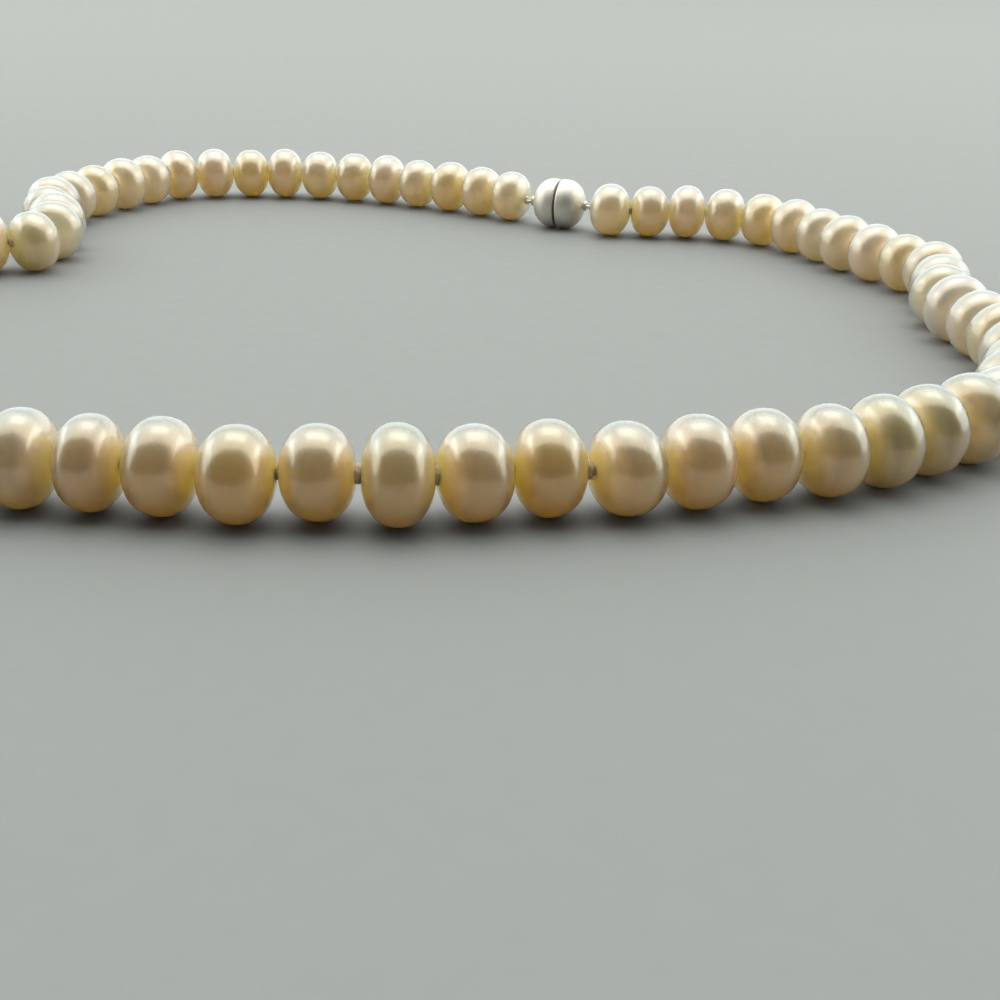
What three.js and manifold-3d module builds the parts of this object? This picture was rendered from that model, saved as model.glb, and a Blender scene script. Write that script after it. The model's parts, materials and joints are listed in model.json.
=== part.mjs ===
/**
 * Freshwater pearl necklace, fastened, lying in a loose closed loop on a flat surface.
 *
 * Frame: millimetres, +Z up. The pearls rest on the plane z = 0, the front of the loop is at
 * -Y, the clasp at +Y, and the origin is under the middle of the loop's box.
 *
 * The strand is a row of oblate pearls on one knotted silk thread. The route of the thread is a
 * closed curve seen from above. The clasp sits at the start of the curve, and the pearls follow
 * it clockwise: down the right side, along the front, round the left side and back to the clasp.
 */
import * as THREE from 'three';
import { mergeVertices } from 'three/addons/utils/BufferGeometryUtils.js';
import Module from 'manifold-3d';

const wasm = await Module();
wasm.setup();

// ---------------------------------------------------------------- driving dimensions, mm

const PEARL_COUNT = 73;
const PEARL_DIAMETER = 7.5; // across the thread, in the middle of the strand
const PEARL_LENGTH = 5.4; // along the thread
const DIAMETER_SPREAD = 0.02; // share by which a sorted pearl differs from its neighbours
const LENGTH_SPREAD = 0.045;
const DIAMETER_STEP = 2.4; // radians of the size wave from one pearl to the next
const LENGTH_STEP = 1.7;
const GRADING = 0.07; // share by which the pearls beside the clasp are smaller
const LEAST_GAP = 0.3; // clear thread between two pearls

const SINGLE_PEARLS = 40; // pearls with a node of their own, counted from the clasp
const STRETCH_PEARLS = 3; // pearls joined along the thread in each later node
const SINGLE_SIDES = 12;
const SINGLE_RINGS = 6;
const STRETCH_SIDES = 8;
const STRETCH_RINGS = 5;

const KNOT_RADIUS = 0.75;
const KNOT_SIDES = 6;
const KNOT_BURIAL = 0.4; // how far a joined knot reaches into the pearls beside it

const CLASP_RADIUS = 3.4;
const CLASP_SIDES = 16;
const CLASP_DOME_STEPS = 5;
const CLASP_SEAM = 0.3; // between the two magnet faces
const CLASP_HALF_LENGTH = 3.9; // one half, from its magnet face to the root of its loop
const CLASP_RIM = 0.25; // bevel round the magnet face
const CLASP_BAND = 0.9; // straight band beside the magnet face
const CLASP_COLLAR_RADIUS = 0.8;
const CLASP_COLLAR_LENGTH = 0.4;
const LOOP_RADIUS = 0.55; // to the middle of the loop's wire
const LOOP_WIRE_RADIUS = 0.22;
const LOOP_SIDES = 6;
const LOOP_STEPS = 12;

const WELD_DISTANCE = 1e-4; // corners this close are one corner
const ROUTE_DIVISIONS = 4000; // steps that measure the length of the route

/** Points that the thread passes over, seen from above. The first is the clasp's middle. */
const ROUTE = [
  { x: 21.1, y: 43.9 },
  { x: 27.8, y: 39.9 },
  { x: 37.9, y: 39.9 },
  { x: 47.2, y: 37.2 },
  { x: 53.2, y: 30.7 },
  { x: 57.2, y: 22.2 },
  { x: 61.2, y: 14.7 },
  { x: 64.3, y: 8.2 },
  { x: 63.6, y: 1.7 },
  { x: 62.1, y: -4.8 },
  { x: 63.0, y: -11.8 },
  { x: 63.9, y: -18.0 },
  { x: 63.3, y: -25.6 },
  { x: 60.6, y: -33.6 },
  { x: 56.0, y: -41.8 },
  { x: 43.4, y: -51.0 },
  { x: 23.2, y: -57.2 },
  { x: 0.2, y: -60.2 },
  { x: -21.8, y: -58.9 },
  { x: -36.3, y: -56.3 },
  { x: -50.8, y: -49.8 },
  { x: -60.7, y: -38.6 },
  { x: -64.6, y: -24.8 },
  { x: -64.6, y: -9.8 },
  { x: -60.8, y: 2.8 },
  { x: -52.8, y: 9.0 },
  { x: -43.2, y: 12.0 },
  { x: -43.8, y: 21.4 },
  { x: -47.6, y: 30.8 },
  { x: -46.6, y: 39.8 },
  { x: -41.8, y: 49.7 },
  { x: -36.3, y: 57.4 },
  { x: -27.3, y: 60.5 },
  { x: -16.3, y: 60.8 },
  { x: -6.0, y: 58.5 },
  { x: 4.7, y: 54.0 },
  { x: 14.4, y: 48.0 },
];

/**
 * The row of pearls that lies in front, in the order of the thread. The gap follows the pearl,
 * and side is how far the pearl stands off the thread's line, towards the outside of the loop.
 */
const FRONT_FIRST = 21;
const FRONT_PEARLS = [
  { diameter: 7.7, length: 5.4, gap: 0.3, side: 0.0 },
  { diameter: 7.6, length: 4.7, gap: 0.3, side: -0.4 },
  { diameter: 7.6, length: 4.85, gap: 0.3, side: -0.2 },
  { diameter: 7.45, length: 5.15, gap: 0.3, side: -0.1 },
  { diameter: 7.4, length: 5.2, gap: 0.35, side: -0.6 },
  { diameter: 7.45, length: 5.4, gap: 0.3, side: -0.2 },
  { diameter: 7.35, length: 5.4, gap: 0.45, side: 0.2 },
  { diameter: 7.5, length: 5.35, gap: 0.3, side: -0.4 },
  { diameter: 7.45, length: 5.45, gap: 0.3, side: 0.0 },
  { diameter: 7.8, length: 5.25, gap: 0.55, side: 0.6 },
  { diameter: 7.4, length: 5.45, gap: 0.3, side: -0.3 },
  { diameter: 7.45, length: 5.55, gap: 0.3, side: 0.5 },
  { diameter: 7.5, length: 5.35, gap: 0.3, side: -0.3 },
  { diameter: 7.45, length: 4.8, gap: 0.3, side: -0.2 },
  { diameter: 7.65, length: 5.0, gap: 0.3, side: 0.0 },
];

/** Body colours of the pearls, cream, golden and peach, repeated along the strand. */
const NACRE_COLOURS = ['#ecdcb8', '#e6cc98', '#e9d0b0'];
const NACRE_ROUGHNESS = 0.2;
const SILVER = '#d9d8d3';
const SILVER_ROUGHNESS = 0.5;

// ---------------------------------------------------------------- the thread's route

const UP = new THREE.Vector3(0, 0, 1);
const routePoints = ROUTE.map(({ x, y }) => new THREE.Vector3(x, y, 0));
const route = new THREE.CatmullRomCurve3(routePoints, true, 'centripetal');
route.arcLengthDivisions = ROUTE_DIVISIONS;
const ROUTE_LENGTH = route.getLength();

/** Place on the route at a distance along it from the clasp's middle. */
function placeAt(distance) {
  const share = THREE.MathUtils.euclideanModulo(distance / ROUTE_LENGTH, 1);
  return { point: route.getPointAt(share), heading: route.getTangentAt(share) };
}

/** Turns a shape whose axis is local Y to lie along the heading, with local Z up. */
function turnAlong(heading) {
  const side = new THREE.Vector3().crossVectors(heading, UP);
  return new THREE.Quaternion().setFromRotationMatrix(
    new THREE.Matrix4().makeBasis(side, heading, UP),
  );
}

// ---------------------------------------------------------------- sizes and places of the pearls

/** Size of pearl number n, counted from 1 at the clasp, with the gap after it. */
function pearlSize(n) {
  const front = FRONT_PEARLS[n - FRONT_FIRST];
  if (front) return front;
  const nearClasp = 0.5 + 0.5 * Math.cos((2 * Math.PI * n) / PEARL_COUNT);
  const grade = 1 - GRADING * nearClasp;
  return {
    diameter: PEARL_DIAMETER * grade * (1 + DIAMETER_SPREAD * Math.sin(DIAMETER_STEP * n)),
    length: PEARL_LENGTH * grade * (1 + LENGTH_SPREAD * Math.sin(LENGTH_STEP * n)),
    gap: LEAST_GAP,
    side: 0,
  };
}

/** How far a pearl reaches towards its neighbour when its axis is turned from that line. */
function reach({ diameter, length }, turn) {
  return Math.hypot((length / 2) * Math.cos(turn), (diameter / 2) * Math.sin(turn));
}

const CLASP_REACH = CLASP_SEAM / 2 + CLASP_HALF_LENGTH + LOOP_RADIUS * 2;

/** All pearls with their distances along the route, when every gap has this much slack. */
function stringPearls(slack) {
  const pearls = [];
  for (let n = 1; n <= PEARL_COUNT; n += 1) {
    const size = pearlSize(n);
    const last = pearls[n - 2];
    let distance = CLASP_REACH + LEAST_GAP + slack + size.length / 2;
    if (last) {
      const guess = last.distance + last.length;
      const turn = placeAt(last.distance).heading.angleTo(placeAt(guess).heading) / 2;
      distance = last.distance + reach(last, turn) + last.gap + slack + reach(size, turn);
    }
    pearls.push({ n, distance, ...size });
  }
  return pearls;
}

/** Room left on the route between the last pearl and the clasp. */
function roomLeft(pearls) {
  const last = pearls[pearls.length - 1];
  return ROUTE_LENGTH - CLASP_REACH - LEAST_GAP - (last.distance + last.length / 2);
}

/** The strung pearls, with the slack that closes the loop shared by all gaps. */
function closeStrand() {
  const slack = roomLeft(stringPearls(0)) / (PEARL_COUNT + 1);
  return stringPearls(slack).map((pearl) => {
    const { point, heading } = placeAt(pearl.distance);
    const outward = new THREE.Vector3().crossVectors(UP, heading);
    const centre = point.clone().addScaledVector(outward, pearl.side);
    centre.z = pearl.diameter / 2;
    return { ...pearl, slack, centre, heading };
  });
}

// ---------------------------------------------------------------- solids

/** Merges the corners that faces share and drops the faces that have no area. */
function weld(geometry) {
  geometry.deleteAttribute('normal');
  geometry.deleteAttribute('uv');
  const merged = mergeVertices(geometry, WELD_DISTANCE);
  const corners = merged.getIndex().array;
  const kept = [];
  for (let i = 0; i < corners.length; i += 3) {
    const [a, b, c] = [corners[i], corners[i + 1], corners[i + 2]];
    if (a !== b && b !== c && c !== a) kept.push(a, b, c);
  }
  merged.setIndex(kept);
  return merged;
}

/** A closed geometry as a solid that can be joined to others. */
function toSolid(geometry) {
  const welded = weld(geometry);
  return new wasm.Manifold(new wasm.Mesh({
    numProp: 3,
    vertProperties: new Float32Array(welded.getAttribute('position').array),
    triVerts: new Uint32Array(welded.getIndex().array),
  }));
}

/** A joined solid as a geometry with faceted normals. */
function toGeometry(solid) {
  const { vertProperties, triVerts } = solid.getMesh();
  const geometry = new THREE.BufferGeometry();
  geometry.setAttribute('position', new THREE.BufferAttribute(new Float32Array(vertProperties), 3));
  geometry.setIndex(new THREE.BufferAttribute(new Uint32Array(triVerts), 1));
  geometry.computeVertexNormals();
  return geometry;
}

/**
 * A pearl turned about local Y. Its widest facets stand at the true radius all round, so that
 * it rests on one of them, and its two ends are where the drilled hole comes out.
 */
function pearlGeometry({ diameter, length }, sides, rings) {
  const cornerRadius = diameter / 2 / Math.cos(Math.PI / sides);
  const profile = [new THREE.Vector2(0, -length / 2)];
  for (let ring = 1; ring <= rings; ring += 1) {
    const angle = (Math.PI * (ring - 0.5)) / rings;
    const widest = Math.abs(ring - (rings + 1) / 2) < 1;
    const radius = widest ? cornerRadius : cornerRadius * Math.sin(angle);
    profile.push(new THREE.Vector2(radius, (-length / 2) * Math.cos(angle)));
  }
  profile.push(new THREE.Vector2(0, length / 2));
  return new THREE.LatheGeometry(profile, sides, Math.PI / sides);
}

/** One half of the ball clasp about local Y: magnet face, band, dome, collar and loop. */
function claspHalfGeometry() {
  const face = CLASP_SEAM / 2;
  const root = face + CLASP_HALF_LENGTH;
  const domeStart = face + CLASP_BAND;
  const domeRise = root - CLASP_COLLAR_LENGTH - domeStart;
  const cornerRadius = CLASP_RADIUS / Math.cos(Math.PI / CLASP_SIDES);
  const domeEnd = Math.acos(CLASP_COLLAR_RADIUS / cornerRadius);
  const profile = [
    new THREE.Vector2(0, face),
    new THREE.Vector2(cornerRadius - CLASP_RIM, face),
    new THREE.Vector2(cornerRadius, face + CLASP_RIM),
  ];
  for (let step = 0; step <= CLASP_DOME_STEPS; step += 1) {
    const angle = (domeEnd * step) / CLASP_DOME_STEPS;
    const rise = (domeRise * Math.sin(angle)) / Math.sin(domeEnd);
    profile.push(new THREE.Vector2(cornerRadius * Math.cos(angle), domeStart + rise));
  }
  profile.push(new THREE.Vector2(CLASP_COLLAR_RADIUS, root));
  profile.push(new THREE.Vector2(0, root));
  const body = new THREE.LatheGeometry(profile, CLASP_SIDES, Math.PI / CLASP_SIDES);
  const loop = new THREE.TorusGeometry(LOOP_RADIUS, LOOP_WIRE_RADIUS, LOOP_SIDES, LOOP_STEPS);
  loop.translate(0, root + LOOP_RADIUS - LOOP_WIRE_RADIUS, 0);
  return toGeometry(toSolid(body).add(toSolid(loop)));
}

/** The knot between two pearls as a short prism that reaches a little into both. */
function knotSolid(before, after) {
  const leave = before.centre.clone().addScaledVector(before.heading, before.length / 2);
  const enter = after.centre.clone().addScaledVector(after.heading, -after.length / 2);
  const line = enter.clone().sub(leave);
  const length = line.length() + KNOT_BURIAL * 2;
  const knot = new THREE.CylinderGeometry(KNOT_RADIUS, KNOT_RADIUS, length, KNOT_SIDES);
  const turn = new THREE.Quaternion().setFromUnitVectors(
    new THREE.Vector3(0, 1, 0),
    line.normalize(),
  );
  knot.applyQuaternion(turn);
  const middle = leave.add(enter).multiplyScalar(0.5);
  knot.translate(middle.x, middle.y, middle.z);
  return toSolid(knot);
}

/** Several pearls joined along their thread, in the route's own frame. */
function stretchGeometry(pearls) {
  let solid = null;
  pearls.forEach((pearl, index) => {
    const geometry = pearlGeometry(pearl, STRETCH_SIDES, STRETCH_RINGS);
    geometry.applyQuaternion(turnAlong(pearl.heading));
    geometry.translate(pearl.centre.x, pearl.centre.y, pearl.centre.z);
    const bead = toSolid(geometry);
    solid = solid ? solid.add(bead) : bead;
    if (index > 0) solid = solid.add(knotSolid(pearls[index - 1], pearl));
  });
  return toGeometry(solid);
}

// ---------------------------------------------------------------- the necklace

const necklace = new THREE.Group();

/** Nacre is a glossy mineral that doesn't conduct. The colours take turns along the strand. */
function nacre(n) {
  const color = NACRE_COLOURS[n % NACRE_COLOURS.length];
  return new THREE.MeshStandardMaterial({ color, roughness: NACRE_ROUGHNESS, metalness: 0 });
}

/** Sterling silver with a satin finish. */
function silver() {
  return new THREE.MeshStandardMaterial({ color: SILVER, roughness: SILVER_ROUGHNESS, metalness: 1 });
}

/** Adds one named piece to the necklace and returns it for placing. */
function addPiece(name, geometry, material) {
  const mesh = new THREE.Mesh(geometry, material);
  mesh.name = name;
  necklace.add(mesh);
  return mesh;
}

const twoDigits = (n) => String(n).padStart(2, '0');
const strand = closeStrand();

for (const pearl of strand.slice(0, SINGLE_PEARLS)) {
  const geometry = pearlGeometry(pearl, SINGLE_SIDES, SINGLE_RINGS);
  const mesh = addPiece(`pearl_${twoDigits(pearl.n)}`, geometry, nacre(pearl.n));
  mesh.position.copy(pearl.centre);
  mesh.quaternion.copy(turnAlong(pearl.heading));
}

for (let start = SINGLE_PEARLS; start < PEARL_COUNT; start += STRETCH_PEARLS) {
  const pearls = strand.slice(start, start + STRETCH_PEARLS);
  const [first, last] = [pearls[0].n, pearls[pearls.length - 1].n].map(twoDigits);
  addPiece(`pearls_${first}_${last}`, stretchGeometry(pearls), nacre(start));
}

const claspPlace = placeAt(0);
const claspGeometry = claspHalfGeometry();
const CLASP_HALVES = [
  { name: 'clasp_half_right', heading: claspPlace.heading },
  { name: 'clasp_half_left', heading: claspPlace.heading.clone().negate() },
];
for (const { name, heading } of CLASP_HALVES) {
  const mesh = addPiece(name, claspGeometry.clone(), silver());
  mesh.position.set(claspPlace.point.x, claspPlace.point.y, CLASP_RADIUS);
  mesh.quaternion.copy(turnAlong(heading));
}

// The origin goes under the middle of the box.
necklace.updateMatrixWorld(true);
const middle = new THREE.Box3().setFromObject(necklace, true).getCenter(new THREE.Vector3());
necklace.position.set(-middle.x, -middle.y, 0);

export default necklace;
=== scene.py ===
"""Looks of the freshwater pearl necklace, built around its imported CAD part.

The file is laid out as an add-on: settings that a user would change, one operator for the pearls,
one for the silk, one for the clasp and one for the stage, and a panel that lists them.
"""
import json
import math

import bmesh
import bpy
import numpy as np
from mathutils import Matrix, Vector


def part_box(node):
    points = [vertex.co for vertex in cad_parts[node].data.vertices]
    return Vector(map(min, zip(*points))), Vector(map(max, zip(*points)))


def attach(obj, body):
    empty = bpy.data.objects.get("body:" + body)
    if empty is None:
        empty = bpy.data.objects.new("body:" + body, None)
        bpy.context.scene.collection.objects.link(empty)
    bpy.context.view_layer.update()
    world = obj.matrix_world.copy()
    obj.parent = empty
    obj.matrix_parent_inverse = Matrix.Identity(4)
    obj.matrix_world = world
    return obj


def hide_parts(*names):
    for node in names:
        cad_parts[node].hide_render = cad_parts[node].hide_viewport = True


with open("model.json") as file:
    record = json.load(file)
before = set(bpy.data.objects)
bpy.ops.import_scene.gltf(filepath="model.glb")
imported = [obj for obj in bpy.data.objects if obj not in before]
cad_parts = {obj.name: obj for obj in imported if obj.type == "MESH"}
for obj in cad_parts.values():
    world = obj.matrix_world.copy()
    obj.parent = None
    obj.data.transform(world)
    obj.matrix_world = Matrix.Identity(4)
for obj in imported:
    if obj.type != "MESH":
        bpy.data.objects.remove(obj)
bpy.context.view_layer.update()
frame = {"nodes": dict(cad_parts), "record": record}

bl_info = {
    "name": "Freshwater pearl necklace",
    "version": (1, 0, 0),
    "blender": (4, 5, 0),
    "location": "View3D > Sidebar > Necklace",
    "description": "Dresses the CAD necklace with nacre, knotted silk and a silver clasp",
    "category": "Object",
}

MM = 0.001
TINY = 0.001 * MM  # a length this small counts as none
BODY = "root"

# ---------------------------------------------------------------- colours


def linear(hex_colour):
    """An sRGB hex colour as the linear RGBA that Blender's sockets hold."""
    channels = [int(hex_colour[i:i + 2], 16) / 255 for i in (1, 3, 5)]
    straight = [c / 12.92 if c <= 0.04045 else ((c + 0.055) / 1.055) ** 2.4 for c in channels]
    return (*straight, 1.0)


# Body colours of untreated freshwater pearls, and how strongly the deep tone shows in each.
NACRE_COLOURS = {
    "cream": ("#DFB39A", 1.0),
    "golden": ("#E1AF82", 1.0),
    "olive": ("#DAB28F", 1.0),
    "peach": ("#E2B298", 1.0),
    "silvery": ("#DFB9A6", 1.0),
    "honey": ("#E4BE9F", 0.8),
    "shell": ("#E4C0AE", 0.8),
    "pale_peach": ("#E6C0AE", 0.75),
    "pale_cream": ("#E4C4B6", 0.75),
    "pale_rose": ("#E8C2BA", 0.75),
}
# The colours of the front row, by pearl, counted from the clasp. The others take turns.
FRONT_COLOURS = {
    21: "cream", 22: "olive", 23: "olive", 24: "cream", 25: "cream", 26: "peach", 27: "cream",
    28: "golden", 29: "cream", 30: "olive", 31: "cream", 32: "golden", 33: "cream", 34: "peach",
    35: "silvery",
}
OTHER_COLOURS = [
    "pale_peach", "pale_cream", "shell", "pale_rose", "pale_cream", "honey", "pale_peach",
    "pale_cream", "shell", "pale_rose", "honey",
]

# ---------------------------------------------------------------- where the CAD pearls are

DECIMALS = 7  # of a metre, so that the corners that facets share count once
CORNERS_APART = 3.4 * MM  # two low corners closer than this are on one pearl
TOP_REACH = 2.0 * MM  # the top facet of a pearl lies within this of its middle
CAD_GAP = 0.34 * MM  # clear thread between two pearls of a joined stretch
# Pearls that have swung round on the thread, by number, seen from above.
SWUNG = {27: math.radians(9), 29: math.radians(10)}


def node_corners(node):
    """The corners of a CAD node, one row each."""
    return np.array([corner.co for corner in frame["nodes"][node].data.vertices])


def split_by_distance(points, apart):
    """Points as groups, each holding the points that are closer than apart to its first one."""
    groups = []
    for point in points:
        near = [group for group in groups if np.linalg.norm(group[0] - point) < apart]
        if near:
            near[0].append(point)
        else:
            groups.append([point])
    return [np.array(group) for group in groups]


def pearls_in_node(node):
    """The middle, diameter and thread direction of each pearl, from where it rests."""
    corners = node_corners(node)
    low = np.unique(corners[corners[:, 2] < TINY][:, :2].round(DECIMALS), axis=0)
    pearls = []
    for feet in split_by_distance(low, CORNERS_APART):
        middle = feet.mean(axis=0)
        across = np.linalg.svd(feet - middle)[2][0]
        near = np.linalg.norm(corners[:, :2] - middle, axis=1) < TOP_REACH
        diameter = corners[near][:, 2].max()
        pearls.append({
            "node": node,
            "centre": Vector((*middle, diameter / 2)),
            "heading": Vector((across[1], -across[0], 0.0)),
            "diameter": float(diameter),
        })
    if len(pearls) == 1:
        along = (corners - np.array(pearls[0]["centre"])) @ np.array(pearls[0]["heading"])
        pearls[0]["length"] = float(along.max() - along.min())
    return pearls


def strung_pearls():
    """Every pearl of the CAD part in the order of the thread, which starts at the clasp."""
    nodes = [name for name in frame["nodes"] if name.startswith("pearl")]
    nodes.sort(key=lambda name: int(name.split("_")[1]))
    pearls = []
    for node in nodes:
        found = pearls_in_node(node)
        if pearls:
            last = pearls[-1]["centre"]
            found.sort(key=lambda pearl: (pearl["centre"] - last).length)
        pearls.extend(found)
    for index, pearl in enumerate(pearls):
        before = pearls[max(index - 1, 0)]["centre"]
        after = pearls[min(index + 1, len(pearls) - 1)]["centre"]
        if pearl["heading"].dot(after - before) < 0:
            pearl["heading"].negate()
        steps = [(pearl["centre"] - other).length for other in (before, after)]
        steps = [step for step in steps if step > 0]
        pearl.setdefault("length", sum(steps) / len(steps) - CAD_GAP)
        pearl["number"] = index + 1
        pearl["heading"].rotate(Matrix.Rotation(SWUNG.get(index + 1, 0.0), 3, "Z"))
    return pearls


PEARLS = strung_pearls()
SLOTS = {part["node"]: part["material_slot"] for part in frame["record"]["subparts"]}
CLASP_NODES = ("clasp_half_right", "clasp_half_left")


def box_middle(node):
    """The middle of a CAD node's box."""
    low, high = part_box(node)
    return (low + high) / 2


CLASP_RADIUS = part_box(CLASP_NODES[0])[1].z / 2
CLASP_MIDDLE = sum((box_middle(node) for node in CLASP_NODES), Vector()) / 2
CLASP_HEADING = (box_middle(CLASP_NODES[0]) - CLASP_MIDDLE).normalized()


def clasp_reach():
    """From the middle of the clasp to the far side of its loop, along the thread."""
    corners = node_corners(CLASP_NODES[0]) - np.array(CLASP_MIDDLE)
    return float((corners @ np.array(CLASP_HEADING)).max())


CLASP_REACH = clasp_reach()

# ---------------------------------------------------------------- settings


def length_setting(name, description, default_mm):
    """A length that a user would change, given in millimetres."""
    return bpy.props.FloatProperty(
        name=name, description=description, default=default_mm * MM, min=0.0,
        unit="LENGTH", subtype="DISTANCE", precision=5)


def colour_setting(name, description, hex_colour):
    """A colour that a user would change."""
    return bpy.props.FloatVectorProperty(
        name=name, description=description, default=linear(hex_colour), size=4,
        min=0.0, max=1.0, subtype="COLOR")


class PearlSettings(bpy.types.PropertyGroup):
    """Shape and finish of the pearls."""

    end_growth: length_setting(
        "End growth", "How far a pearl's end reaches past the CAD solid, towards its knot", 0.15)
    fullness: bpy.props.FloatProperty(
        name="Fullness", description="Exponent of the profile: 2 is an ellipse, more is fuller",
        default=2.28, min=2.0, max=4.0)
    drill: length_setting("Drilled hole", "Diameter of the hole for the thread", 0.8)
    drill_depth: length_setting("Hole depth", "How deep the hole is modelled at each end", 0.9)
    mouth: length_setting("Hole mouth", "Rounding of the rim of the hole", 0.08)
    swell: length_setting("Swell", "Depth of the broad unevenness of a natural pearl", 0.16)
    swell_size: length_setting("Swell size", "Width of one swell", 5.0)
    ripple: length_setting("Ripple", "Depth of the fine unevenness", 0.055)
    ripple_size: length_setting("Ripple size", "Width of one ripple", 1.6)
    deep_tone: colour_setting("Deep tone", "Where the nacre is thick and the colour pools", "#92ADBE")
    pit_colour: colour_setting("Pits", "Colour at the bottom of a growth pit", "#8E6E40")


class SilkSettings(bpy.types.PropertyGroup):
    """Sizes and colour of the knotted silk."""

    thread: length_setting("Thread", "Diameter of the twisted silk thread", 0.5)
    knot_width: length_setting("Knot width", "Diameter of a knot across the thread", 1.6)
    knot_length: length_setting("Knot length", "Length of a knot that stands clear", 0.7)
    sunk_share: bpy.props.FloatProperty(
        name="Sunk share", description="Size of the knots that have sunk into the drilled holes",
        default=0.6, min=0.1, max=1.0)
    knot_strand: length_setting("Knot strand", "Diameter of the strand in a knot", 0.42)
    colour: colour_setting("Silk", "Colour of the silk", "#FCE0B2")


class ClaspSettings(bpy.types.PropertyGroup):
    """Sizes and colour of the magnetic ball clasp."""

    seam: length_setting("Seam", "Gap between the two magnet faces", 0.3)
    band: length_setting("Band", "Straight wall beside the magnet face", 0.9)
    half_length: length_setting("Half length", "From a magnet face to the root of its loop", 3.9)
    collar_radius: length_setting("Collar radius", "Radius of the collar under the loop", 0.8)
    collar_length: length_setting("Collar length", "Length of the collar under the loop", 0.4)
    loop_radius: length_setting("Loop radius", "To the middle of the loop's wire", 0.55)
    wire_radius: length_setting("Wire radius", "Radius of the loop's wire", 0.22)
    rim: length_setting("Rim", "Rounding of the edge of the magnet face", 0.25)
    colour: colour_setting("Silver", "Colour of the satin silver", "#E6E2D6")


class StageSettings(bpy.types.PropertyGroup):
    """Floor, light and camera."""

    floor_size: length_setting("Floor size", "Side of the square floor", 6000)
    floor_colour: colour_setting("Floor", "Colour of the plain floor", "#919392")
    wall_distance: length_setting("Wall distance", "From the necklace to the wall all round", 900)
    wall_height: length_setting("Wall height", "Height of the wall above the floor", 600)
    wall_colour: colour_setting("Wall", "Colour of the plain wall", "#A3A8A4")
    room_colour: colour_setting("Room", "Colour of the dim room around the lights", "#B9BDC2")
    light_colour: colour_setting("Light", "Colour of the soft lights", "#FAFDF8")
    room_strength: bpy.props.FloatProperty(
        name="Room strength", description="Brightness of the room", default=0.126, min=0.0)
    core_power: bpy.props.FloatProperty(
        name="Core power", description="Power of the small bright light behind and above",
        default=0.85, min=0.0, unit="POWER")
    window_power: bpy.props.FloatProperty(
        name="Window power", description="Power of the broad light behind and above",
        default=19.0, min=0.0, unit="POWER")
    back_power: bpy.props.FloatProperty(
        name="Back power", description="Power of the broad light low behind",
        default=8.4, min=0.0, unit="POWER")
    side_power: bpy.props.FloatProperty(
        name="Side power", description="Power of each light at the sides",
        default=2.1, min=0.0, unit="POWER")
    lens: bpy.props.FloatProperty(
        name="Lens", description="Focal length of the camera", default=50.0, min=1.0,
        unit="CAMERA")
    pitch: bpy.props.FloatProperty(
        name="Pitch", description="How far the camera looks down", default=math.radians(23.33),
        subtype="ANGLE")
    roll: bpy.props.FloatProperty(
        name="Roll", description="How far the camera leans", default=math.radians(1.52),
        subtype="ANGLE")


# ---------------------------------------------------------------- modelling


def only(*objects):
    """Selects these objects and makes the first one active."""
    bpy.ops.object.select_all(action="DESELECT")
    for one in objects:
        one.select_set(True)
    bpy.context.view_layer.objects.active = objects[0]
    return objects[0]


def new_piece(name):
    """The primitive that was just added, as a piece with this name and nothing selected in it."""
    piece = only(bpy.context.object)
    piece.name = name
    piece.data.name = name
    bpy.ops.object.mode_set(mode="EDIT")
    bpy.ops.mesh.select_all(action="DESELECT")
    return piece


def select(piece, faces=None, corners=None):
    """Selects in edit mode the faces, or else the corners, for which the test holds."""
    mesh = bmesh.from_edit_mesh(piece.data)
    bpy.ops.mesh.select_all(action="DESELECT")
    bpy.ops.mesh.select_mode(type="FACE" if faces else "VERT")
    if faces:
        for face in mesh.faces:
            face.select_set(faces(face.calc_center_median()))
    else:
        for corner in mesh.verts:
            corner.select_set(corners(corner.co))
    mesh.select_flush_mode()
    bmesh.update_edit_mesh(piece.data)


def apply_place(piece):
    """Puts the place of an object into its mesh."""
    only(piece)
    bpy.ops.object.transform_apply(location=True, rotation=True, scale=True)


def apply_modifier(piece, name, kind, **settings):
    """Adds a modifier with these settings and applies it."""
    only(piece)
    modifier = piece.modifiers.new(name, kind)
    for key, value in settings.items():
        setattr(modifier, key, value)
    bpy.ops.object.modifier_apply(modifier=name)


def copy_of(piece, name):
    """A copy with its own mesh."""
    copy = piece.copy()
    copy.data = piece.data.copy()
    copy.name = name
    copy.data.name = name
    bpy.context.scene.collection.objects.link(copy)
    return copy


def along(heading, middle):
    """Matrix that lays local Z along the heading, with local Y up, at the middle."""
    side = Vector((0, 0, 1)).cross(heading)
    turn = Matrix((side, Vector((0, 0, 1)), heading)).transposed().to_4x4()
    return Matrix.Translation(middle) @ turn


def place(piece, heading, middle, scale=(1, 1, 1)):
    """Sizes a piece modelled about local Z, lays it along the heading and applies that."""
    piece.matrix_world = along(heading, middle) @ Matrix.Diagonal((*scale, 1))
    apply_place(piece)


def dress(piece, material, slot, *nodes):
    """Finishes a piece: gives it its material and its body, and hides the CAD nodes it stands for.
    The slot is not used.
    """
    piece.data.materials.clear()
    piece.data.materials.append(material)
    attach(piece, BODY)
    if nodes:
        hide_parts(*nodes)


# ---------------------------------------------------------------- materials


def add_node(tree, kind, settings=None, inputs=None):
    """Adds a node with its settings. An input is a value or the socket that feeds it."""
    made = tree.nodes.new(kind)
    for name, value in (settings or {}).items():
        setattr(made, name, value)
    for name, value in (inputs or {}).items():
        if isinstance(value, bpy.types.NodeSocket):
            tree.links.new(value, made.inputs[name])
        else:
            made.inputs[name].default_value = value
    return made


def new_material(name):
    """An empty node material, and its tree."""
    material = bpy.data.materials.new(name)
    material.use_nodes = True
    material.node_tree.nodes.clear()
    return material, material.node_tree


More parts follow.
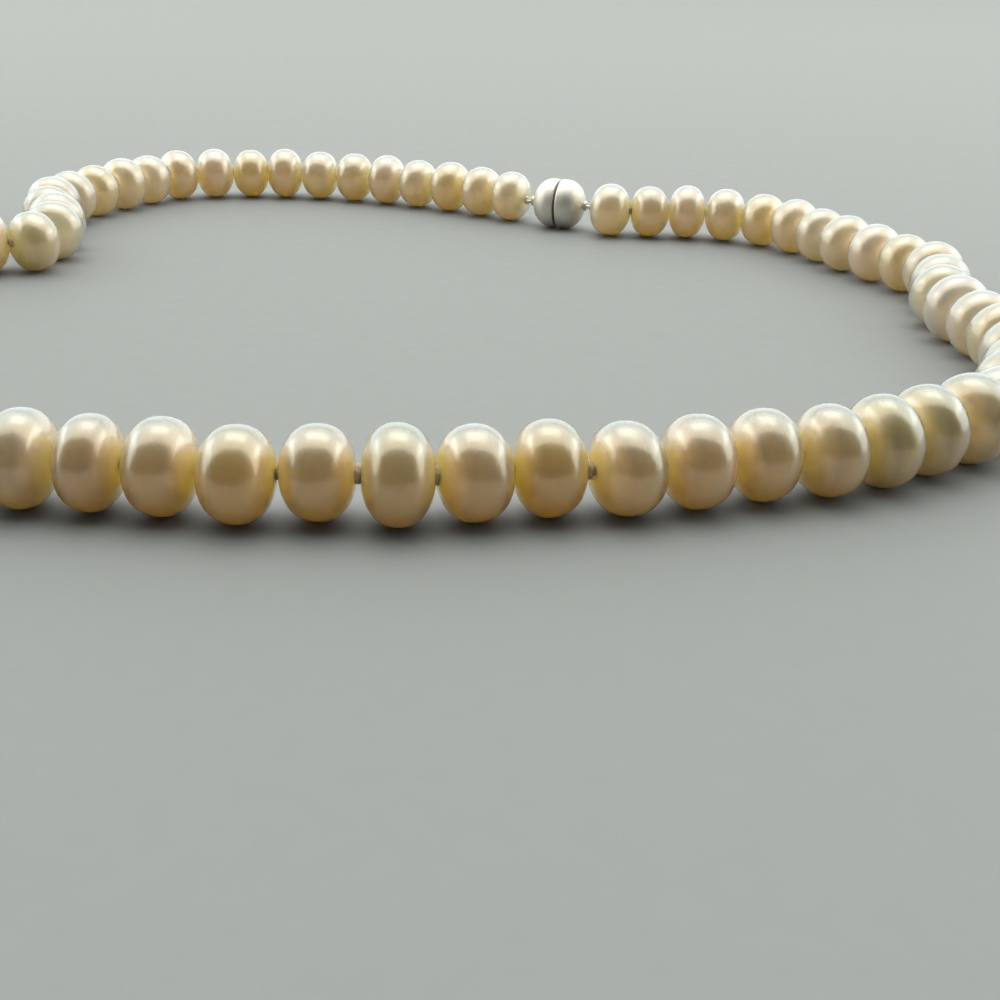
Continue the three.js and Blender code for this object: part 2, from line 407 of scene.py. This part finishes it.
def finish_material(tree, shader):
    """Connects a material's shader to its output."""
    add_node(tree, "ShaderNodeOutputMaterial", inputs={"Surface": shader.outputs[0]})


def per_metre(millimetres):
    """Scale of a texture whose features are this wide."""
    return 1 / (millimetres * MM)


# Widths of the patterns in millimetres. Real growth lines and the real skin are finer still, and
# are drawn as coarse as they need to show.
CLOUD_WIDTH = 3.0
SKIN_WIDTH = 0.55
PIT_SPACING = 8.0
POLE_TO_POLE = 10.78  # along the skin of a middling pearl, which its own coordinates run once
RING_WIDTH = 0.77
GROWTH_LINE_WIDTH = 0.196
PLY_WIDTH = 1.2  # the wave's bands come out 0.44 mm apart
BRUSH_WIDTH = 0.4
TARNISH_WIDTH = 3.0
LACQUER_WIDTH = 2.0


def nacre_depth(tree, growth, clouds, body):
    """How deep the tone is at a point: deepest round the belt, and in clouds elsewhere."""
    from_belt = add_node(tree, "ShaderNodeMath", {"operation": "SUBTRACT"}, {
        0: growth.outputs["Y"], 1: 0.5})
    from_belt = add_node(tree, "ShaderNodeMath", {"operation": "ABSOLUTE"}, {
        0: from_belt.outputs[0]})
    belt = add_node(tree, "ShaderNodeMapRange", {"interpolation_type": "SMOOTHSTEP"}, {
        "Value": from_belt.outputs[0], "From Min": 0.08, "From Max": 0.44,
        "To Min": 1.0, "To Max": 0.0})
    pooled = add_node(tree, "ShaderNodeMapRange", inputs={
        "Value": clouds.outputs["Fac"], "From Min": 0.42, "From Max": 0.72, "To Max": 0.3})
    depth = add_node(tree, "ShaderNodeMath", {"operation": "ADD", "use_clamp": True}, {
        0: belt.outputs["Result"], 1: pooled.outputs["Result"]})
    depth = add_node(tree, "ShaderNodeMath", {"operation": "MULTIPLY"}, {
        0: depth.outputs[0], 1: body.outputs["Alpha"]})
    return depth.outputs[0]


def nacre_colour(tree, settings, growth, clouds, pits):
    """The pearl's own body colour, toned by depth, shaded by faint rings and darker in the pits."""
    body = add_node(tree, "ShaderNodeAttribute", {"attribute_name": "body_colour"})
    toned = add_node(tree, "ShaderNodeMix", {"data_type": "RGBA", "blend_type": "MULTIPLY"}, {
        0: nacre_depth(tree, growth, clouds, body), 6: body.outputs["Color"],
        7: tuple(settings.deep_tone)})
    rings = add_node(tree, "ShaderNodeTexNoise", {"noise_dimensions": "1D"}, {
        "W": growth.outputs["Y"], "Scale": POLE_TO_POLE / RING_WIDTH, "Detail": 2.0})
    ring_shade = add_node(tree, "ShaderNodeMapRange", inputs={
        "Value": rings.outputs["Fac"], "From Min": 0.3, "From Max": 0.7, "To Min": 0.965})
    ringed = add_node(tree, "ShaderNodeMix", {"data_type": "RGBA", "blend_type": "MULTIPLY"}, {
        0: 1.0, 6: toned.outputs[2], 7: ring_shade.outputs["Result"]})
    pitted = add_node(tree, "ShaderNodeMix", {"data_type": "RGBA"}, {
        0: pits.outputs["Result"], 6: ringed.outputs[2], 7: tuple(settings.pit_colour)})
    return pitted.outputs[2]


def nacre_relief(tree, growth, clouds, pits, skin):
    """Fine growth lines that come and go, the uneven skin and the pits, as bump."""
    growth_lines = add_node(tree, "ShaderNodeTexNoise", {"noise_dimensions": "1D"}, {
        "W": growth.outputs["Y"], "Scale": POLE_TO_POLE / GROWTH_LINE_WIDTH, "Detail": 1.0})
    lined = add_node(tree, "ShaderNodeMath", {"operation": "MULTIPLY"}, {
        0: growth_lines.outputs["Fac"], 1: clouds.outputs["Fac"]})
    skin_height = add_node(tree, "ShaderNodeMath", {"operation": "MULTIPLY_ADD"}, {
        0: lined.outputs[0], 1: 1.4, 2: skin.outputs["Fac"]})
    height = add_node(tree, "ShaderNodeMath", {"operation": "SUBTRACT"}, {
        0: skin_height.outputs[0], 1: pits.outputs["Result"]})
    relief = add_node(tree, "ShaderNodeBump", inputs={
        "Height": height.outputs[0], "Strength": 0.5, "Distance": 0.02 * MM})
    return relief.outputs["Normal"]


def nacre_material(settings):
    """Nacre of a freshwater pearl: thousands of aragonite layers, grown and only polished.

    The layers give a soft deep gloss with a faint pink and green play, and some light sinks in
    and comes out golden. Together they mirror far more than one face of aragonite does, so the
    IOR is higher, with a little metallic, and the coat stands for the polished outer layer. The
    body colour pools in clouds and in faint rings about the drilled axis.
    """
    material, tree = new_material("freshwater_nacre_polished")
    place_in_object = add_node(tree, "ShaderNodeTexCoord")
    growth = add_node(tree, "ShaderNodeSeparateXYZ", inputs={0: place_in_object.outputs["UV"]})
    clouds = add_node(tree, "ShaderNodeTexNoise", inputs={
        "Vector": place_in_object.outputs["Object"], "Scale": per_metre(CLOUD_WIDTH),
        "Detail": 2.0})
    cells = add_node(tree, "ShaderNodeTexVoronoi", inputs={
        "Vector": place_in_object.outputs["Object"], "Scale": per_metre(PIT_SPACING)})
    pits = add_node(tree, "ShaderNodeMapRange", {"interpolation_type": "SMOOTHSTEP"}, {
        "Value": cells.outputs["Distance"], "From Min": 0.006, "From Max": 0.02,
        "To Min": 1.0, "To Max": 0.0})
    skin = add_node(tree, "ShaderNodeTexNoise", inputs={
        "Vector": place_in_object.outputs["Object"], "Scale": per_metre(SKIN_WIDTH),
        "Detail": 3.0})
    gloss = add_node(tree, "ShaderNodeMapRange", inputs={
        "Value": skin.outputs["Fac"], "To Min": 0.26, "To Max": 0.36})
    shader = add_node(tree, "ShaderNodeBsdfPrincipled", inputs={
        "Base Color": nacre_colour(tree, settings, growth, clouds, pits),
        "Roughness": gloss.outputs["Result"],
        "Normal": nacre_relief(tree, growth, clouds, pits, skin),
        "IOR": 2.9, "Metallic": 0.1, "Subsurface Weight": 1.0,
        "Subsurface Radius": (1.0, 0.69, 0.24), "Subsurface Scale": 40.0 * MM,
        "Coat Weight": 1.0, "Coat Roughness": 0.12, "Coat IOR": 1.48,
        "Thin Film Thickness": 340.0, "Thin Film IOR": 1.1})
    finish_material(tree, shader)
    return material


def silk_material(settings):
    """Filament silk, twisted from fine plies: a soft sheen, a slanting grain, and painted shade that
    darkens the grooves between the plies.
    """
    material, tree = new_material("twisted_filament_silk")
    place_in_object = add_node(tree, "ShaderNodeTexCoord")
    plies = add_node(tree, "ShaderNodeTexWave", {"bands_direction": "DIAGONAL"}, {
        "Vector": place_in_object.outputs["Object"], "Scale": per_metre(PLY_WIDTH),
        "Distortion": 2.0})
    # Painted shade: the colour is darkened where the plies' bump sinks, in the grooves between them.
    shade = add_node(tree, "ShaderNodeMapRange", inputs={
        "Value": plies.outputs["Fac"], "To Min": 0.82, "To Max": 1.0})
    colour = add_node(tree, "ShaderNodeMix", {"data_type": "RGBA", "blend_type": "MULTIPLY"}, {
        0: 1.0, 6: tuple(settings.colour), 7: shade.outputs["Result"]})
    relief = add_node(tree, "ShaderNodeBump", inputs={
        "Height": plies.outputs["Fac"], "Strength": 0.5, "Distance": 0.05 * MM})
    shader = add_node(tree, "ShaderNodeBsdfPrincipled", inputs={
        "Base Color": colour.outputs[2], "Roughness": 0.42, "IOR": 1.54,
        "Normal": relief.outputs["Normal"], "Sheen Weight": 0.7, "Sheen Roughness": 0.5})
    finish_material(tree, shader)
    return material


def silver_material(settings):
    """Sterling silver, cast and finished with a fine satin brush, then dulled a little by wear.

    Its reflections are soft patches of light and floor, a little darker where it has tarnished.
    """
    material, tree = new_material("sterling_silver_satin")
    place_in_object = add_node(tree, "ShaderNodeTexCoord")
    brushing = add_node(tree, "ShaderNodeTexNoise", inputs={
        "Vector": place_in_object.outputs["Object"], "Scale": per_metre(BRUSH_WIDTH),
        "Detail": 4.0})
    gloss = add_node(tree, "ShaderNodeMapRange", inputs={
        "Value": brushing.outputs["Fac"], "To Min": 0.48, "To Max": 0.62})
    tarnish = add_node(tree, "ShaderNodeTexNoise", inputs={
        "Vector": place_in_object.outputs["Object"], "Scale": per_metre(TARNISH_WIDTH)})
    shade = add_node(tree, "ShaderNodeMapRange", inputs={
        "Value": tarnish.outputs["Fac"], "From Min": 0.4, "From Max": 0.8,
        "To Min": 1.0, "To Max": 0.9})
    colour = add_node(tree, "ShaderNodeMix", {"data_type": "RGBA", "blend_type": "MULTIPLY"}, {
        0: 1.0, 6: tuple(settings.colour), 7: shade.outputs["Result"]})
    shader = add_node(tree, "ShaderNodeBsdfPrincipled", inputs={
        "Base Color": colour.outputs[2], "Roughness": gloss.outputs["Result"],
        "Metallic": 1.0})
    finish_material(tree, shader)
    return material


def floor_material(settings):
    """A plain pale board with a matt lacquer."""
    material, tree = new_material("matt_lacquered_board")
    place_in_object = add_node(tree, "ShaderNodeTexCoord")
    lacquer = add_node(tree, "ShaderNodeTexNoise", inputs={
        "Vector": place_in_object.outputs["Object"], "Scale": per_metre(LACQUER_WIDTH),
        "Detail": 2.0})
    gloss = add_node(tree, "ShaderNodeMapRange", inputs={
        "Value": lacquer.outputs["Fac"], "To Min": 0.6, "To Max": 0.75})
    shader = add_node(tree, "ShaderNodeBsdfPrincipled", inputs={
        "Base Color": tuple(settings.floor_colour), "Roughness": gloss.outputs["Result"]})
    finish_material(tree, shader)
    return material


def wall_material(settings):
    """Plain backdrop paper, lit evenly from edge to edge."""
    material, tree = new_material("backdrop_paper")
    shader = add_node(tree, "ShaderNodeEmission", inputs={"Color": tuple(settings.wall_colour)})
    finish_material(tree, shader)
    return material


# ---------------------------------------------------------------- the pearls

PEARL_SIDES = 64
PEARL_RINGS = 34
MODEL_DIAMETER = 7.5 * MM
MODEL_LENGTH = 5.5 * MM
MOUTH_STEPS = 3
RIM_LEVEL = 0.98  # the rim of the hole stands above this share of the half length
TEXTURE_STEP = 13 * MM  # each pearl is cut from its own stretch of the unevenness


def model_pearl(settings):
    """One pearl about local Z: an oblate body, made fuller ring by ring, drilled at both ends."""
    bpy.ops.mesh.primitive_uv_sphere_add(
        segments=PEARL_SIDES, ring_count=PEARL_RINGS, radius=MODEL_DIAMETER / 2)
    piece = new_piece("pearl_model")
    flat = MODEL_LENGTH / MODEL_DIAMETER
    bpy.ops.mesh.select_all(action="SELECT")
    bpy.ops.transform.resize(value=(1, 1, flat))
    half = MODEL_LENGTH / 2
    for ring in range(1, PEARL_RINGS):
        level = math.cos(math.pi * ring / PEARL_RINGS)
        round_share = math.sqrt(1 - level ** 2)
        full_share = (1 - abs(level) ** settings.fullness) ** (1 / settings.fullness)
        select(piece, corners=lambda co: abs(co.z - half * level) < TINY)
        grown = full_share / round_share
        bpy.ops.transform.resize(value=(grown, grown, 1))
    for end in (1, -1):
        select(piece, faces=lambda co: co.z * end > 0 and co.xy.length < settings.drill / 2)
        bpy.ops.mesh.extrude_region_move(
            TRANSFORM_OT_translate={"value": (0, 0, -end * settings.drill_depth)})
        select(piece, corners=lambda co: co.z * end > half - settings.drill_depth / 2
               and abs(co.xy.length - rim_radius(piece, end)) < TINY)
        bpy.ops.mesh.bevel(offset=settings.mouth, segments=MOUTH_STEPS, affect="EDGES")
    bpy.ops.object.mode_set(mode="OBJECT")
    bpy.ops.object.shade_smooth()
    return piece


def rim_radius(piece, end):
    """Radius of the rim of the drilled hole at one end of the pearl being edited."""
    mesh = bmesh.from_edit_mesh(piece.data)
    level = MODEL_LENGTH / 2 * RIM_LEVEL
    high = [corner.co for corner in mesh.verts if corner.co.z * end > level]
    return min(co.xy.length for co in high)


def swell_texture(name, size):
    """Soft noise whose features are this wide."""
    texture = bpy.data.textures.new(name, "CLOUDS")
    texture.noise_scale = size
    texture.noise_depth = 1
    return texture


def body_colour(number):
    """The body colour of a pearl, counted from the clasp, with the depth of its tone as alpha."""
    name = FRONT_COLOURS.get(number, OTHER_COLOURS[number % len(OTHER_COLOURS)])
    hex_colour, depth = NACRE_COLOURS[name]
    return (*linear(hex_colour)[:3], depth)


def paint(piece, colour):
    """Gives a piece its body colour, which its material reads."""
    layer = piece.data.attributes.new("body_colour", "FLOAT_COLOR", "POINT")
    layer.data.foreach_set("color", np.tile(np.array(colour), len(piece.data.vertices)))


def fit(piece, size):
    """Centres a piece on the origin and gives its box this size."""
    corners = np.array([corner.co for corner in piece.data.vertices])
    low = corners.min(axis=0)
    high = corners.max(axis=0)
    piece.location = -(low + high) / 2
    apply_place(piece)
    piece.scale = size / (high - low)
    apply_place(piece)


class NECKLACE_OT_pearls(bpy.types.Operator):
    """Model one pearl, copy it along the thread and give each its own form and colour"""

    bl_idname = "necklace.pearls"
    bl_label = "Pearls"

    def execute(self, context):
        settings = context.scene.necklace_pearls
        material = nacre_material(settings)
        model = model_pearl(settings)
        swell = swell_texture("broad_swell", settings.swell_size)
        ripple = swell_texture("fine_ripple", settings.ripple_size)
        for pearl in PEARLS:
            piece = copy_of(model, f"nacre_{pearl['number']:02d}")
            piece.location.z = TEXTURE_STEP * pearl["number"]
            apply_place(piece)
            for texture, depth in ((swell, settings.swell), (ripple, settings.ripple)):
                apply_modifier(piece, texture.name, "DISPLACE", texture=texture,
                               texture_coords="LOCAL", strength=depth)
            diameter = pearl["diameter"]
            fit(piece, (diameter, diameter, pearl["length"] + 2 * settings.end_growth))
            place(piece, pearl["heading"], pearl["centre"])
            paint(piece, body_colour(pearl["number"]))
            dress(piece, material, SLOTS[pearl["node"]], pearl["node"])
        bpy.data.objects.remove(model)
        return {"FINISHED"}


# ---------------------------------------------------------------- the silk

KNOT_SIDES = 16
STRAND_SIDES = 7
THREAD_SIDES = 8
KNOT_LEAN = math.radians(16)  # how far each turn of a knot leans from square to the thread
KNOT_CROSSING = math.radians(70)  # how far round the thread its second turn leans
CLEAR_KNOTS = (27, 29, 30)  # knots that stand clear, by the pearl before them
LOOP_TURNS = (-0.6, 0.0, 0.6)  # places of the thread's turns round a loop, in thread widths
TIGHT_RADIUS = 0.3  # radius of a turn that is pulled tight, in thread widths


def knot_places():
    """The middle and direction of the knot after each pearl but the last."""
    places = []
    for one, other in zip(PEARLS, PEARLS[1:]):
        leave = one["centre"] + one["heading"] * one["length"] / 2
        enter = other["centre"] - other["heading"] * other["length"] / 2
        towards = (one["heading"] + other["heading"]).normalized()
        places.append(((leave + enter) / 2, towards))
    return places


def loop_turns(settings, wire_radius):
    """Rings of thread wound round the far side of both loops of the clasp."""
    side = CLASP_HEADING.cross(Vector((0, 0, 1)))
    strand = settings.thread * TIGHT_RADIUS
    rings = []
    for way in (1, -1):
        for shift in LOOP_TURNS:
            bpy.ops.mesh.primitive_torus_add(
                major_radius=wire_radius + strand, minor_radius=strand,
                major_segments=KNOT_SIDES, minor_segments=STRAND_SIDES)
            ring = bpy.context.object
            bpy.ops.object.shade_smooth()
            middle = CLASP_MIDDLE + CLASP_HEADING * way * (CLASP_REACH - wire_radius)
            place(ring, side, middle + side * shift * settings.thread)
            rings.append(ring)
    return rings


def model_knot(settings):
    """An overhand knot about local Z: two turns of the strand that lean across each other."""
    strand = settings.knot_strand / 2
    turn_radius = settings.knot_width / 2 - strand
    bpy.ops.mesh.primitive_torus_add(
        major_radius=turn_radius, minor_radius=strand,
        major_segments=KNOT_SIDES, minor_segments=STRAND_SIDES)
    piece = new_piece("knot_model")
    bpy.ops.mesh.select_all(action="SELECT")
    bpy.ops.transform.rotate(value=KNOT_LEAN, orient_axis="X", center_override=(0, 0, 0))
    bpy.ops.mesh.duplicate()
    bpy.ops.transform.rotate(value=-2 * KNOT_LEAN, orient_axis="X", center_override=(0, 0, 0))
    bpy.ops.transform.rotate(value=KNOT_CROSSING, orient_axis="Z", center_override=(0, 0, 0))
    bpy.ops.object.mode_set(mode="OBJECT")
    bpy.ops.object.shade_smooth()
    return piece


def join(pieces, name):
    """Several objects as one piece."""
    piece = only(*pieces)
    bpy.ops.object.join()
    piece.name = name
    piece.data.name = name
    return piece


def tie_knots(settings):
    """A knot after each pearl but the last. Those that don't stand clear are smaller."""
    model = model_knot(settings)
    squash = settings.knot_length / model.dimensions.z
    knots = []
    for number, (middle, heading) in enumerate(knot_places(), start=1):
        knot = copy_of(model, f"knot_{number}")
        share = 1.0 if number in CLEAR_KNOTS else settings.sunk_share
        place(knot, heading, middle, (share, share, share * squash))
        knots.append(knot)
    bpy.data.objects.remove(model)
    return knots


def run_thread(settings, wire_radius):
    """The thread, straight through each pearl, from one loop of the clasp to the other."""
    curve = bpy.data.curves.new("silk_thread", "CURVE")
    curve.dimensions = "3D"
    curve.bevel_depth = settings.thread / 2
    curve.bevel_resolution = (THREAD_SIDES - 4) // 2  # each step adds two sides to four
    curve.use_fill_caps = True
    to_loop = CLASP_HEADING * (CLASP_REACH - wire_radius)
    points = [CLASP_MIDDLE + to_loop]
    for pearl in PEARLS:
        reach = pearl["heading"] * pearl["length"] / 2
        points += [pearl["centre"] - reach, pearl["centre"] + reach]
    points.append(CLASP_MIDDLE - to_loop)
    spline = curve.splines.new("POLY")
    spline.points.add(len(points) - 1)
    for point, target in zip(spline.points, points):
        point.co = (*target, 1)
    thread = bpy.data.objects.new("silk_thread", curve)
    bpy.context.scene.collection.objects.link(thread)
    only(thread)
    bpy.ops.object.convert(target="MESH")
    return bpy.context.object


class NECKLACE_OT_silk(bpy.types.Operator):
    """Run the silk thread through the pearls and tie a knot in each gap"""

    bl_idname = "necklace.silk"
    bl_label = "Silk thread and knots"

    def execute(self, context):
        settings = context.scene.necklace_silk
        wire_radius = context.scene.necklace_clasp.wire_radius
        material = silk_material(settings)
        slot = SLOTS[PEARLS[0]["node"]]
        turns = loop_turns(settings, wire_radius)
        dress(join([*turns, *tie_knots(settings)], "silk_knots"), material, slot)
        dress(run_thread(settings, wire_radius), material, slot)
        return {"FINISHED"}


# ---------------------------------------------------------------- the clasp

CLASP_SIDES = 64
CLASP_RINGS = 32
RIM_STEPS = 4
WIRE_STEPS = 40
WIRE_SIDES = 16
SHARP_EDGE = math.radians(40)  # edges that turn more than this stay sharp


def model_clasp_half(settings):
    """Half of the ball about local Z, from its magnet face up to the loop for the thread."""
    face = settings.seam / 2
    root = face + settings.half_length
    dome_start = face + settings.band
    dome_end = root - settings.collar_length
    bpy.ops.mesh.primitive_uv_sphere_add(
        segments=CLASP_SIDES, ring_count=CLASP_RINGS, radius=CLASP_RADIUS)
    piece = new_piece("clasp_model")
    bpy.ops.mesh.select_all(action="SELECT")
    bpy.ops.mesh.bisect(plane_co=(0, 0, 0), plane_no=(0, 0, 1), clear_inner=True)
    collar_share = math.sqrt(1 - (settings.collar_radius / CLASP_RADIUS) ** 2)
    rise = (dome_end - dome_start) / (CLASP_RADIUS * collar_share)
    bpy.ops.mesh.select_all(action="SELECT")
    bpy.ops.transform.resize(value=(1, 1, rise), center_override=(0, 0, 0))
    bpy.ops.transform.translate(value=(0, 0, dome_start))
    select(piece, corners=lambda co: co.z < dome_start + TINY)
    bpy.ops.mesh.extrude_region_move(TRANSFORM_OT_translate={"value": (0, 0, -settings.band)})
    bpy.ops.mesh.edge_face_add()
    bpy.ops.mesh.select_mode(type="EDGE")
    bpy.ops.mesh.bevel(offset=settings.rim, segments=RIM_STEPS, affect="EDGES")
    select(piece, faces=lambda co: co.z > dome_start and co.xy.length < settings.collar_radius)
    bpy.ops.mesh.extrude_region_move(
        TRANSFORM_OT_translate={"value": (0, 0, settings.collar_length)})
    bpy.ops.mesh.select_all(action="SELECT")
    bpy.ops.mesh.normals_make_consistent(inside=False)
    bpy.ops.object.mode_set(mode="OBJECT")
    loop_middle = root + settings.loop_radius - settings.wire_radius
    bpy.ops.mesh.primitive_torus_add(
        location=(0, 0, loop_middle), rotation=(math.pi / 2, 0, 0),
        major_radius=settings.loop_radius, minor_radius=settings.wire_radius,
        major_segments=WIRE_STEPS, minor_segments=WIRE_SIDES)
    loop = bpy.context.object
    apply_place(loop)
    return join([piece, loop], "clasp_model")


class NECKLACE_OT_clasp(bpy.types.Operator):
    """Model one half of the magnetic ball clasp and copy it to both sides of the seam"""

    bl_idname = "necklace.clasp"
    bl_label = "Magnetic clasp"

    def execute(self, context):
        settings = context.scene.necklace_clasp
        material = silver_material(settings)
        model = model_clasp_half(settings)
        only(model)
        bpy.ops.object.shade_smooth_by_angle(angle=SHARP_EDGE)
        for node, way in zip(CLASP_NODES, (1, -1)):
            piece = copy_of(model, node.replace("clasp_half", "silver_clasp"))
            middle = Vector((CLASP_MIDDLE.x, CLASP_MIDDLE.y, CLASP_RADIUS))
            place(piece, CLASP_HEADING * way, middle)
            dress(piece, material, SLOTS[node], node)
        bpy.data.objects.remove(model)
        return {"FINISHED"}


# ---------------------------------------------------------------- the stage

CAMERA_PLACE = Vector((14.1, -154.9, 42.8)) * MM
NEAREST_SEEN = 1 * MM
WALL_SIDES = 96
LIT_POINT = Vector((0, -30, 0)) * MM
# The soft lights, as they stand from the lit point: turned from straight behind and raised above
# the floor, in degrees, with distance, width and height in metres. Power names the setting.
LIGHTS = [
    {"name": "core", "turned": 0, "raised": 70, "distance": 0.72,
     "width": 0.52, "height": 0.34, "power": "core_power"},
    {"name": "window", "turned": 0, "raised": 71, "distance": 0.82,
     "width": 3.0, "height": 1.1, "power": "window_power"},
    {"name": "back", "turned": 0, "raised": 17, "distance": 1.06,
     "width": 2.6, "height": 0.64, "power": "back_power"},
    {"name": "left_panel", "turned": 79, "raised": 19, "distance": 0.81,
     "width": 0.8, "height": 0.5, "power": "side_power"},
    {"name": "right_panel", "turned": -79, "raised": 19, "distance": 0.81,
     "width": 0.8, "height": 0.5, "power": "side_power"},
]


def add_floor(settings):
    """The plain board that the necklace lies on."""
    bpy.ops.object.select_all(action="DESELECT")
    bpy.ops.mesh.primitive_plane_add(size=settings.floor_size)
    floor = bpy.context.object
    floor.name = "floor"
    floor.data.materials.append(floor_material(settings))


def add_wall(settings):
    """A round wall that only the camera sees, so that the room's light and reflections stay."""
    height = settings.wall_height
    bpy.ops.mesh.primitive_cylinder_add(
        vertices=WALL_SIDES, radius=settings.wall_distance, depth=height,
        end_fill_type="NOTHING", location=(0, 0, height / 2))
    wall = bpy.context.object
    wall.name = "wall"
    wall.data.materials.append(wall_material(settings))
    wall.visible_diffuse = False
    wall.visible_glossy = False
    wall.visible_transmission = False
    wall.visible_shadow = False


def dim_room(settings):
    """The dark room round the lights, which the pearls mirror on their near side."""
    world = bpy.data.worlds.new("dim_room")
    bpy.context.scene.world = world
    world.use_nodes = True
    background = world.node_tree.nodes["Background"]
    background.inputs["Color"].default_value = tuple(settings.room_colour)
    background.inputs["Strength"].default_value = settings.room_strength


def add_light(settings, name, turned, raised, distance, width, height, power):
    """A rectangular soft light that faces the necklace and isn't seen itself."""
    light = bpy.data.lights.new(name, "AREA")
    light.shape = "RECTANGLE"
    light.size = width
    light.size_y = height
    light.energy = getattr(settings, power)
    light.color = settings.light_colour[:3]
    turn = Matrix.Rotation(math.radians(turned), 3, "Z")
    rise = Matrix.Rotation(math.radians(raised), 3, "X")
    towards = turn @ rise @ Vector((0, 1, 0))
    holder = bpy.data.objects.new(name, light)
    holder.location = LIT_POINT + towards * distance
    holder.rotation_euler = towards.to_track_quat("Z", "Y").to_euler()
    holder.visible_camera = False
    bpy.context.scene.collection.objects.link(holder)


def add_camera(settings):
    """The camera, low over the front row, with the clasp far behind it."""
    camera = bpy.data.cameras.new("camera")
    camera.lens = settings.lens
    camera.clip_start = NEAREST_SEEN
    level = Matrix.Rotation(math.pi / 2 - settings.pitch, 4, "X")
    lean = Matrix.Rotation(settings.roll, 4, "Z")
    holder = bpy.data.objects.new("camera", camera)
    holder.matrix_world = Matrix.Translation(CAMERA_PLACE) @ level @ lean
    bpy.context.scene.collection.objects.link(holder)
    bpy.context.scene.camera = holder
    bpy.context.scene.view_settings.view_transform = "Standard"


class NECKLACE_OT_stage(bpy.types.Operator):
    """Set up the plain floor and wall, the soft lights and the camera"""

    bl_idname = "necklace.stage"
    bl_label = "Floor, light and camera"

    def execute(self, context):
        settings = context.scene.necklace_stage
        add_floor(settings)
        add_wall(settings)
        dim_room(settings)
        for light in LIGHTS:
            add_light(settings, **light)
        add_camera(settings)
        return {"FINISHED"}


# ---------------------------------------------------------------- add-on


class NECKLACE_PT_pieces(bpy.types.Panel):
    """Lists the pieces of the necklace in the sidebar of the 3D view."""

    bl_label = "Necklace"
    bl_space_type = "VIEW_3D"
    bl_region_type = "UI"
    bl_category = "Necklace"

    def draw(self, context):
        for operator in OPERATORS:
            self.layout.operator(operator.bl_idname)


OPERATORS = (NECKLACE_OT_pearls, NECKLACE_OT_silk, NECKLACE_OT_clasp, NECKLACE_OT_stage)
SETTINGS = {
    "necklace_pearls": PearlSettings,
    "necklace_silk": SilkSettings,
    "necklace_clasp": ClaspSettings,
    "necklace_stage": StageSettings,
}
CLASSES = (*SETTINGS.values(), *OPERATORS, NECKLACE_PT_pieces)


def register():
    """Registers the classes and hangs the settings on the scene."""
    for cls in CLASSES:
        bpy.utils.register_class(cls)
    for name, group in SETTINGS.items():
        setattr(bpy.types.Scene, name, bpy.props.PointerProperty(type=group))


def unregister():
    """Takes away what register added."""
    for name in SETTINGS:
        delattr(bpy.types.Scene, name)
    for cls in reversed(CLASSES):
        bpy.utils.unregister_class(cls)


def main():
    """Builds everything in order."""
    register()
    bpy.ops.necklace.pearls()
    bpy.ops.necklace.silk()
    bpy.ops.necklace.clasp()
    bpy.ops.necklace.stage()


if __name__ == "__main__":
    main()
